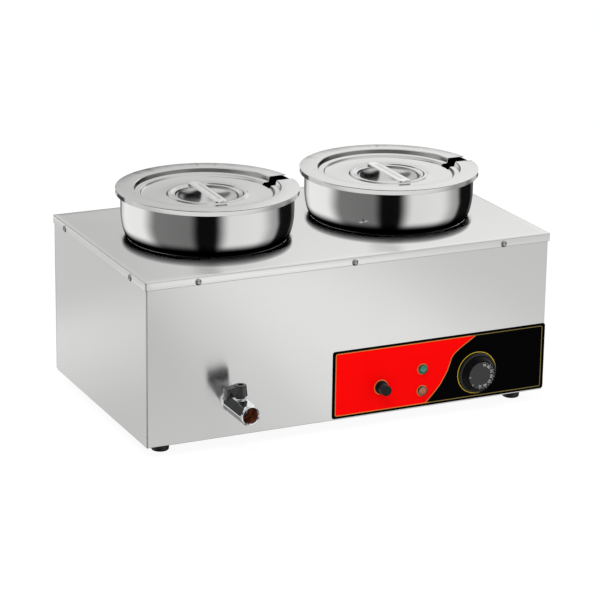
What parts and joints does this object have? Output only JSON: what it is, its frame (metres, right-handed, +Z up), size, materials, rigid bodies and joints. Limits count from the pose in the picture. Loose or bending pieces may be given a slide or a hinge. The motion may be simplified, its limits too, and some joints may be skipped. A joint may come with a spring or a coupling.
{
  "type": "bain marie food warmer",
  "caption": "Counter-top wet-well bain marie: folded steel housing, round inset pots with notched strap-handled lids, drain tap, thermostat and lamp panel.",
  "frame": {"origin": "centre of the footprint of the bounding box, on the plane that the feet rest on", "axes": "+X to the user's right along the front, +Y towards the back, +Z up"},
  "size_m": [0.5708, 0.408, 0.2931],
  "materials": {
    "body_steel": "fine brushed stainless sheet",
    "dull_steel": "plain mill-finish stainless steel",
    "polished_steel": "mirror-polished stainless steel with fine turning lines",
    "screw_steel": "zinc-plated steel",
    "chrome": "bright chrome plate",
    "brass": "turned brass",
    "panel_film": "printed overlay, red and black with gold lines",
    "black_phenolic": "moulded black phenolic",
    "black_nylon": "moulded black nylon",
    "foot_rubber": "moulded black rubber",
    "green_lens": "tinted green lens",
    "amber_lens": "tinted amber lens",
    "fuse_glass": "clear glass tube with metal end caps",
    "white_plastic": "plain white fluoropolymer",
    "white_ceramic": "unglazed white ceramic"
  },
  "bodies": {
    "housing": {"body_wrap": "body_steel", "back_panel": "body_steel", "bottom_plate": "dull_steel", "top_cover": "body_steel", "water_tank": "dull_steel", "foot_front_left": "foot_rubber", "foot_front_right": "foot_rubber", "foot_back_left": "foot_rubber", "foot_back_right": "foot_rubber", "foot_screw_front_left": "screw_steel", "foot_screw_front_right": "screw_steel", "foot_screw_back_left": "screw_steel", "foot_screw_back_right": "screw_steel", "cover_screw_front_left": "screw_steel", "cover_screw_front_middle": "screw_steel", "cover_screw_front_right": "screw_steel", "cover_screw_back_left": "screw_steel", "cover_screw_back_middle": "screw_steel", "cover_screw_back_right": "screw_steel", "cover_screw_left_front": "screw_steel", "cover_screw_left_rear": "screw_steel", "cover_screw_right_front": "screw_steel", "cover_screw_right_rear": "screw_steel", "control_panel": "panel_film", "thermostat_body": "dull_steel", "thermostat_bulb": "chrome", "bulb_gland": "brass", "fuse_holder": "black_phenolic", "fuse_nut": "black_nylon", "green_lamp_body": "black_nylon", "green_lamp_lens": "green_lens", "amber_lamp_body": "black_nylon", "amber_lamp_lens": "amber_lens", "drain_socket": "dull_steel", "tap_washer": "white_plastic", "valve_end": "chrome", "valve_body": "chrome", "valve_seat_front": "white_plastic", "valve_seat_back": "white_plastic", "heating_element": "dull_steel", "element_bush_inner": "brass", "element_bush_right": "brass", "element_stand": "dull_steel", "cable_gland": "black_nylon", "terminal_block": "white_ceramic"},
    "knob": {"thermostat_knob": "black_phenolic", "thermostat_shaft": "chrome"},
    "tap_handle": {"valve_lever": "black_nylon", "valve_stem": "chrome", "valve_ball": "chrome", "lever_screw": "black_nylon"},
    "fuse_carrier": {"fuse_cartridge": "fuse_glass"},
    "fuse_cap": {"fuse_cap": "black_phenolic"},
    "pot_left": {"pot_left": "polished_steel"},
    "pot_right": {"pot_right": "polished_steel"},
    "lid_left": {"lid_left": "polished_steel", "lid_handle_left": "polished_steel"},
    "lid_right": {"lid_right": "polished_steel", "lid_handle_right": "polished_steel"}
  },
  "joints": [
    {"name": "pot_left_lift", "type": "slide", "parent": "housing", "child": "pot_left", "axis": [0, 0, 1], "range_m": [0, 0.2]},
    {"name": "pot_right_lift", "type": "slide", "parent": "housing", "child": "pot_right", "axis": [0, 0, 1], "range_m": [0, 0.2]},
    {"name": "lid_left_lift", "type": "slide", "parent": "pot_left", "child": "lid_left", "axis": [0, 0, 1], "range_m": [0, 0.2]},
    {"name": "lid_right_lift", "type": "slide", "parent": "pot_right", "child": "lid_right", "axis": [0, 0, 1], "range_m": [0, 0.2]},
    {"name": "knob_turn", "type": "hinge", "parent": "housing", "child": "knob", "pos_m": [0.1805, -0.14205, 0.0523], "axis": [0, 1, 0], "range_deg": [0, 270]},
    {"name": "tap_turn", "type": "hinge", "parent": "housing", "child": "tap_handle", "pos_m": [-0.168, -0.17055, 0.063], "axis": [0, 0, 1], "range_deg": [0, 90]},
    {"name": "fuse_pull", "type": "slide", "parent": "housing", "child": "fuse_carrier", "axis": [0, -1, 0], "range_m": [0, 0.05]},
    {"name": "fuse_cap_turn", "type": "hinge", "parent": "fuse_carrier", "child": "fuse_cap", "pos_m": [0.0413, -0.14205, 0.0515], "axis": [0, -1, 0], "range_deg": [0, 90]}
  ]
}
